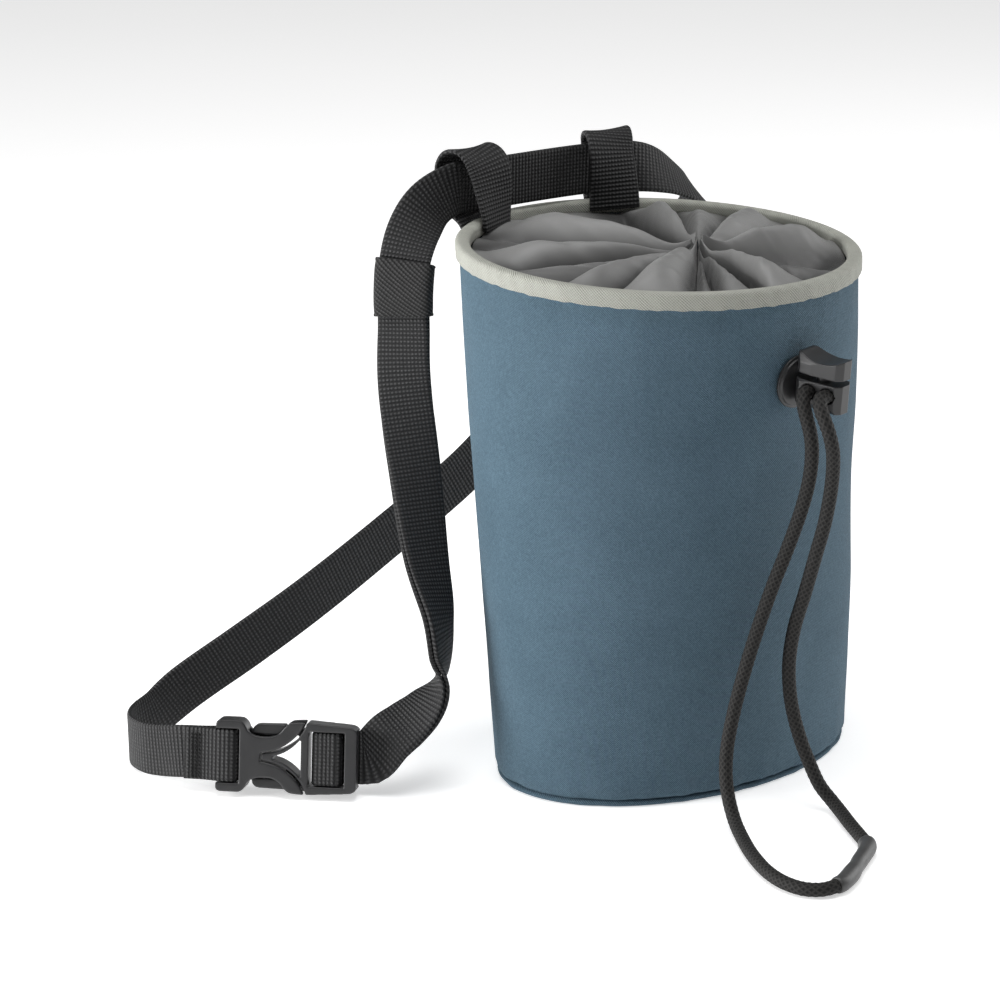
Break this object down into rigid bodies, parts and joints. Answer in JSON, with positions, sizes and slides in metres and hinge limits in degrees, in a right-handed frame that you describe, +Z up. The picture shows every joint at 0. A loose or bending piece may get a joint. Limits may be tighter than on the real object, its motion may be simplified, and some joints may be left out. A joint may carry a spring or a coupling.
{
  "type": "climbing chalk bag",
  "caption": "Cylindrical fabric chalk bag with a bound rim, gathered drawcord closure, cord lock, and a webbing waist belt with a side release buckle.",
  "frame": {"origin": "middle of the base panel's underside, on the surface that the bag stands on", "axes": "+Z up; -Y towards the cord lock and pull cord; +Y towards the belt loops; the buckle lies at -X"},
  "size_m": [0.2051, 0.2175, 0.183],
  "materials": {
    "canvas": "blue-grey fine diagonal twill, matt",
    "tape": "light warm grey ribbed binding tape",
    "nylon": "mid grey smooth nylon with a soft sheen",
    "webbing": "black ribbed nylon webbing",
    "plastic": "dark grey moulded acetal, satin",
    "cord": "black braided cord",
    "sleeve": "dark grey soft plastic tube, satin"
  },
  "bodies": {
    "bag": {"body_wall": "canvas", "base_panel": "canvas", "rim_binding": "tape", "closure": "nylon", "belt_loop_right": "webbing", "belt_loop_left": "webbing", "waist_belt": "webbing", "belt_keeper": "webbing", "buckle_female": "plastic", "buckle_male": "plastic", "lock_flange": "plastic", "lock_body": "plastic", "cord_front": "cord", "cord_rear": "cord", "cord_sleeve": "sleeve"},
    "button": {"lock_button": "plastic"}
  },
  "joints": [
    {"name": "button_press", "type": "slide", "parent": "bag", "child": "button", "axis": [0.008, 0.0861, -0.9962], "range_m": [0, 0.0014], "stiffness_N_per_m": 1500}
  ]
}
